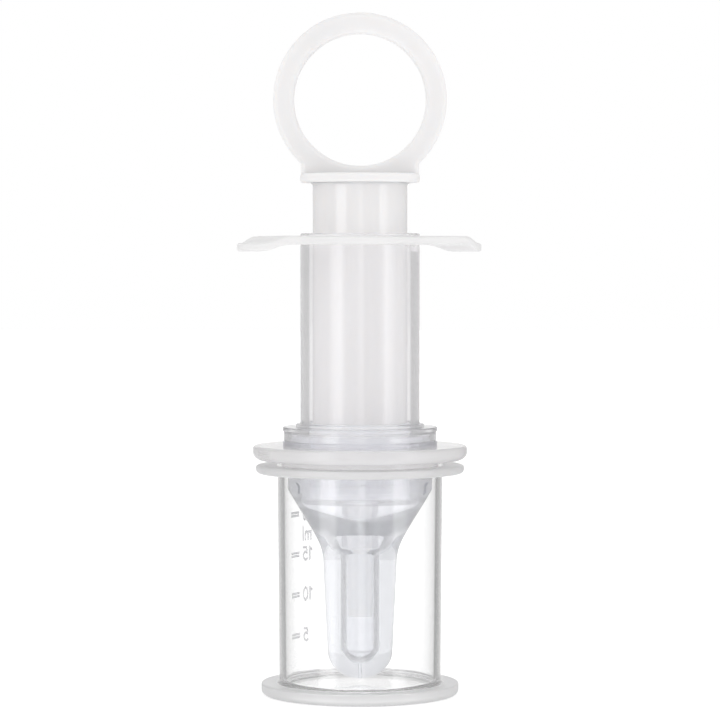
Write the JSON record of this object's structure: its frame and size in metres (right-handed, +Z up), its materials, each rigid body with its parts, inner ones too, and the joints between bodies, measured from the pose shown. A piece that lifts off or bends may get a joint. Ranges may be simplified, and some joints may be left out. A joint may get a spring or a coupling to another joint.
{
  "type": "medicine dropper",
  "caption": "Ring-pull oral syringe whose nozzle feeds a soft nipple through a round shield, standing in a clear graduated cup.",
  "frame": {"origin": "centre of the measuring cup's underside", "axes": "+Z up along the barrel, towards the finger ring; the hole of the finger ring runs along Y; -Y is the front"},
  "size_m": [0.0464, 0.0408, 0.1294],
  "materials": {
    "clear_plastic": "gloss, transparent",
    "milky_plastic": "satin, translucent",
    "clear_silicone": "gloss, transparent",
    "seal_silicone": "satin, translucent"
  },
  "bodies": {
    "cup": {"measuring_cup": "clear_plastic"},
    "shield": {"shield": "milky_plastic"},
    "nipple": {"nipple": "clear_silicone"},
    "barrel": {"barrel": "clear_plastic", "spout_tube": "milky_plastic"},
    "piston": {"piston_seal": "seal_silicone"},
    "plunger": {"plunger_tube": "milky_plastic", "ring_handle": "milky_plastic"}
  },
  "joints": [
    {"name": "cup_lift", "type": "slide", "parent": "cup", "child": "shield", "axis": [0, 0, 1], "range_m": [0, 0.045]},
    {"name": "shield_lift", "type": "slide", "parent": "shield", "child": "nipple", "axis": [0, 0, 1], "range_m": [0, 0.05]},
    {"name": "barrel_lift", "type": "slide", "parent": "nipple", "child": "barrel", "axis": [0, 0, 1], "range_m": [0, 0.04]},
    {"name": "piston_slide", "type": "slide", "parent": "barrel", "child": "piston", "axis": [0, 0, 1], "range_m": [0, 0.0335]},
    {"name": "plunger_spin", "type": "hinge", "parent": "piston", "child": "plunger", "pos_m": [0, 0, 0.1], "axis": [0, 0, 1], "continuous": true}
  ]
}
